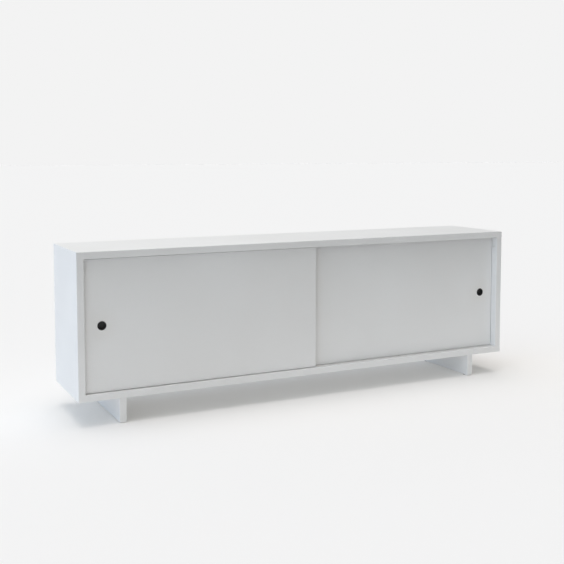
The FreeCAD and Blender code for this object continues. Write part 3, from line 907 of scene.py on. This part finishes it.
def screw_tree():
    tree = FastenerTree("countersunk_screws", SCREW_SIZES)
    head_radius, head_height, shank, length, recess = (tree.inputs[size] for size in tree.sizes)
    under_head = tree.maths("MULTIPLY", head_height, -1)
    cone_height = tree.maths("SUBTRACT", head_height, HEAD_RIM)
    head = tree.frustum(head_radius, shank, cone_height, under_head)
    disc = tree.frustum(tree.maths("MULTIPLY", head_radius, RIM_TAPER), head_radius, HEAD_RIM,
                        -HEAD_RIM)
    blades = []
    for angle in (0.0, math.pi / 2):
        size = tree.add("ShaderNodeCombineXYZ", X=tree.maths("MULTIPLY", recess, BLADE_LENGTH),
                        Y=tree.maths("MULTIPLY", recess, BLADE_WIDTH), Z=head_height)
        blade = tree.add("GeometryNodeMeshCube", Size=size)
        blades.append(tree.add("GeometryNodeTransform", Geometry=blade, Rotation=(0, 0, angle)))
    both = tree.add("GeometryNodeJoinGeometry", Geometry=[head, disc])
    cut = tree.add("GeometryNodeMeshBoolean", {"operation": "DIFFERENCE", "solver": "EXACT"},
                   i0=both, i1=blades)
    stem = tree.frustum(shank, tree.maths("MULTIPLY", shank, TIP_TAPER),
                        tree.maths("SUBTRACT", length, head_height),
                        tree.maths("MULTIPLY", length, -1), SHANK_AROUND)
    ridge = tree.frustum(shank, tree.maths("MULTIPLY", shank, THREAD_TAPER), THREAD_HEIGHT, 0.0,
                         SHANK_AROUND)
    line = tree.add("GeometryNodeMeshLine", Count=THREADS, Offset=(0, 0, -THREAD_PITCH))
    low_line = tree.lifted(line, tree.maths("SUBTRACT", under_head, THREAD_PITCH))
    ridges = tree.add("GeometryNodeInstanceOnPoints", Points=low_line, Instance=ridge)
    whole = tree.add("GeometryNodeJoinGeometry", Geometry=[cut, stem, ridges])
    return tree.instance(whole, seed=SCREW_SEED)


screws = screw_tree()
print("screw tree has", len(screws.tree.nodes), "nodes")

# %% [markdown]
# The heads of the leg screws face up, those of the back screws face +Y, and the track screws
# face into the cabinet from both tracks. A screw's point in the cloud is the middle of its
# flush head, which is the end of its box on the side that it faces.

# %% Screws
UP = Vector((0, 0, 1))
DOWN = Vector((0, 0, -1))
RIGHT = Vector((1, 0, 0))
LEFT = Vector((-1, 0, 0))
BACKWARD = Vector((0, 1, 0))
# Millimetres. The length is that of the CAD solid.
LEG_SCREW = {"Head Radius": 5.0, "Head Height": 3.5, "Shank Radius": 2.5, "Recess": 2.6}
TRACK_SCREW = {"Head Radius": 3.2, "Head Height": 1.5, "Shank Radius": 1.5, "Recess": 1.5}
BACK_SCREW = {"Head Radius": 3.2, "Head Height": 2.0, "Shank Radius": 1.5, "Recess": 1.6}


def facing_end(box, direction):
    """The middle of the box's face on the side of direction."""
    low, high = box
    centre, half = (low + high) / 2, (high - low) / 2
    return centre + Vector(d * h for d, h in zip(direction, half))


def screws_for(node, directions, kind):
    """One screw on each solid of a node; directions gives the way its head faces."""
    boxes = separate_solids(node)
    places = [(facing_end(box, directions(box)), directions(box)) for box in boxes]
    along = max(range(3), key=lambda i: abs(places[0][1][i]))
    sizes = {name: value * MM for name, value in kind.items()}
    sizes["Length"] = boxes[0][1][along] - boxes[0][0][along]
    grown(screws, point_cloud(f"{node}_points", places), f"{node}_set", node, zinc, sizes)


def into_cabinet(box):
    """Track screws face down from the upper track, and up from the lower one."""
    return DOWN if box[0].z > tracks_middle else UP


tracks_middle = (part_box("upper_track")[0].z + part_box("lower_track")[1].z) / 2
screws_for("leg_screws", lambda box: UP, LEG_SCREW)
screws_for("track_screws", into_cabinet, TRACK_SCREW)
for side in SIDES:
    screws_for(f"{side}_back_screws", lambda box: BACKWARD, BACK_SCREW)

# %% [markdown]
# ### Shelf pins, bumpers and foot pads
#
# A shelf pin is a stem with a collar that stops it at the wall, and a nose that is eased so it
# finds its hole. A bumper is a low dome of soft rubber, and a foot pad is a felt disc with a
# worn edge. All three are stacks of discs with eased edges, so one tree makes any of them from
# three radii, three heights and one ease.

# %% Stacked tree
STACK_SIZES = ("Radius 1", "Height 1", "Radius 2", "Height 2", "Radius 3", "Height 3", "Ease")
STACK_AROUND = 40


def stacked_tree():
    tree = FastenerTree("stacked_discs", STACK_SIZES)
    r1, h1, r2, h2, r3, h3, ease = (tree.inputs[size] for size in tree.sizes)
    layers = []
    base = 0.0
    for radius, height in ((r1, h1), (r2, h2), (r3, h3)):
        narrow = tree.maths("SUBTRACT", radius, ease)
        straight = tree.maths("SUBTRACT", height, tree.maths("MULTIPLY", ease, 2))
        lower = tree.maths("ADD", base, ease)
        upper = tree.maths("ADD", lower, straight)
        layers.append(tree.frustum(radius, narrow, ease, base, STACK_AROUND))
        layers.append(tree.frustum(radius, radius, straight, lower, STACK_AROUND))
        layers.append(tree.frustum(narrow, radius, ease, upper, STACK_AROUND))
        base = tree.maths("ADD", base, height)
    stack = tree.add("GeometryNodeJoinGeometry", Geometry=layers)
    return tree.instance(stack)


stacked = stacked_tree()
# Millimetres, from the end that a stack starts at.
SHELF_PIN = {"radii": (2.5, 3.5, 2.5), "heights": (7.5, 0.8, 7.2), "ease": 0.2}
DOOR_BUMPER = {"radii": (3.0, 2.8, 2.4), "heights": (0.6, 0.5, 0.4), "ease": 0.1}
FOOT_PAD = {"radii": (9.9, 10.0, 10.0), "heights": (1.0, 1.0, 1.0), "ease": 0.08}


def stacks_for(node, name, directions, finish, radii, heights, ease):
    """One stack on each solid, starting at the end that is away from its direction."""
    places = [(facing_end(box, -directions(box)), directions(box))
              for box in separate_solids(node)]
    sizes = {"Ease": ease * MM}
    for i, (radius, height) in enumerate(zip(radii, heights), 1):
        sizes[f"Radius {i}"] = radius * MM
        sizes[f"Height {i}"] = height * MM
    grown(stacked, point_cloud(f"{node}_points", places), name, node, finish, sizes)


def into_bay(box):
    """A pin faces the bay that its collar looks into: away from the side panel or the divider."""
    x = (box[0].x + box[1].x) / 2
    from_side = abs(x) > cad_high.x / 2
    return (LEFT if x > 0 else RIGHT) if from_side else (RIGHT if x > 0 else LEFT)


def into_case(box):
    """A bumper faces away from the side panel that it is stuck to."""
    return LEFT if box[0].x > 0 else RIGHT


stacks_for("shelf_pins", "shelf_pin_set", into_bay, zinc, **SHELF_PIN)
stacks_for("door_bumpers", "door_bumper_set", into_case, bumper_rubber, **DOOR_BUMPER)
stacks_for("foot_pads", "foot_pad_set", lambda box: UP, felt, **FOOT_PAD)

# %% [markdown]
# ## Hidden wood and axles
#
# The biscuits, dowels and axles are whole CAD solids of the right shape, so they keep their
# meshes, and only their material slots are filled.

# %% Materials on CAD nodes that stay
KEPT = {"corner_biscuits": beech, "divider_dowels": beech,
        "left_roller_axles": zinc, "right_roller_axles": zinc}
for node, material in KEPT.items():
    frame["nodes"][node].data.materials.clear()
    frame["nodes"][node].data.materials.append(material)
print("kept CAD nodes:", *KEPT)

# %% [markdown]
# ## The studio
#
# The cabinet stands on a wide pale floor with no horizon. A studio lights white furniture with
# one very large soft box overhead, so that the top is the brightest face and the shadow stays
# close under the case, and with weaker lights round it. Here each light is a lobe of the
# sky: it has a direction, a colour with its strength, and a power that says how narrow it is.
# A ray's light is the sum over the lobes of colour times (ray . direction) ^ power. The one on
# the left is blue, so the side panel looks a little cooler than the doors.
#
# The floor ends not far in front of the cabinet, outside the picture. Light that bounces off
# it reaches the foot of the doors more than their top, and so the front gets softly darker
# towards the top. The floor also glows faintly, like a lit tabletop, which keeps the shadow
# from going black. What the camera sees past the floor is a plain tone, equal to the floor's.

# %% Floor and sky
FLOOR_TONE = 0.75
FLOOR_GLOW = (0.127, 0.125, 0.120)
FLOOR_FROM = (-60, -2.0)
FLOOR_TO = (60, 60)
SKY_SEEN = 0.896
# Each lobe is a direction, a power, and a colour with its strength.
SKY_LOBES = {
    "overhead": ((0, 0, 1), 16, (5.69, 5.41, 5.25)),
    "behind": ((0, 1, 0.3), 2, (0.759, 0.764, 0.729)),
    "front_left": ((-0.7, -0.5, 0.5), 3, (1.120, 1.060, 0.881)),
    "left": ((-1, 0, 0.25), 2, (0.0, 0.241, 0.617)),
}


def make_floor():
    mesh = bmesh.new()
    (x0, y0), (x1, y1) = FLOOR_FROM, FLOOR_TO
    corners = [(x0, y0), (x1, y0), (x1, y1), (x0, y1)]
    mesh.faces.new([mesh.verts.new((x, y, cad_low.z)) for x, y in corners])
    data = bpy.data.meshes.new("studio_floor")
    mesh.to_mesh(data)
    mesh.free()
    material, _, _ = new_material(
        "floor_paper", Base_Color=(*grey(FLOOR_TONE), 1), Roughness=1.0, Specular_IOR_Level=0.0,
        Emission_Color=(*FLOOR_GLOW, 1), Emission_Strength=1.0)
    data.materials.append(material)
    floor = bpy.data.objects.new("studio_floor", data)
    bpy.context.scene.collection.objects.link(floor)


def sky_lobe(tree, ray, direction, power, colour):
    """One soft light: a Background whose strength is (ray . direction) ^ power."""
    toward = tree.nodes.new("ShaderNodeVectorMath")
    toward.operation = "DOT_PRODUCT"
    toward.inputs[1].default_value = Vector(direction).normalized()
    tree.links.new(ray, toward.inputs[0])
    facing = combine(tree, "MAXIMUM", toward.outputs["Value"], 0.0)
    light = tree.nodes.new("ShaderNodeBackground")
    light.inputs["Color"].default_value = (*colour, 1)
    tree.links.new(combine(tree, "POWER", facing, power), light.inputs["Strength"])
    return light.outputs["Background"]


def make_sky():
    world = bpy.data.worlds.new("studio_sky")
    bpy.context.scene.world = world
    world.use_nodes = True
    tree = world.node_tree
    tree.nodes.clear()
    ray = tree.nodes.new("ShaderNodeTexCoord").outputs["Generated"]
    total = None
    for direction, power, colour in SKY_LOBES.values():
        light = sky_lobe(tree, ray, direction, power, colour)
        if total:
            both = tree.nodes.new("ShaderNodeAddShader")
            tree.links.new(total, both.inputs[0])
            tree.links.new(light, both.inputs[1])
            light = both.outputs["Shader"]
        total = light
    seen = tree.nodes.new("ShaderNodeBackground")
    seen.inputs["Color"].default_value = (*grey(SKY_SEEN), 1)
    path = tree.nodes.new("ShaderNodeLightPath")
    mix = tree.nodes.new("ShaderNodeMixShader")
    out = tree.nodes.new("ShaderNodeOutputWorld")
    tree.links.new(path.outputs["Is Camera Ray"], mix.inputs["Fac"])
    tree.links.new(total, mix.inputs[1])
    tree.links.new(seen.outputs["Background"], mix.inputs[2])
    tree.links.new(mix.outputs["Shader"], out.inputs["Surface"])


make_floor()
make_sky()
bpy.context.scene.view_settings.view_transform = "Standard"
print("sky lobes:", *SKY_LOBES)
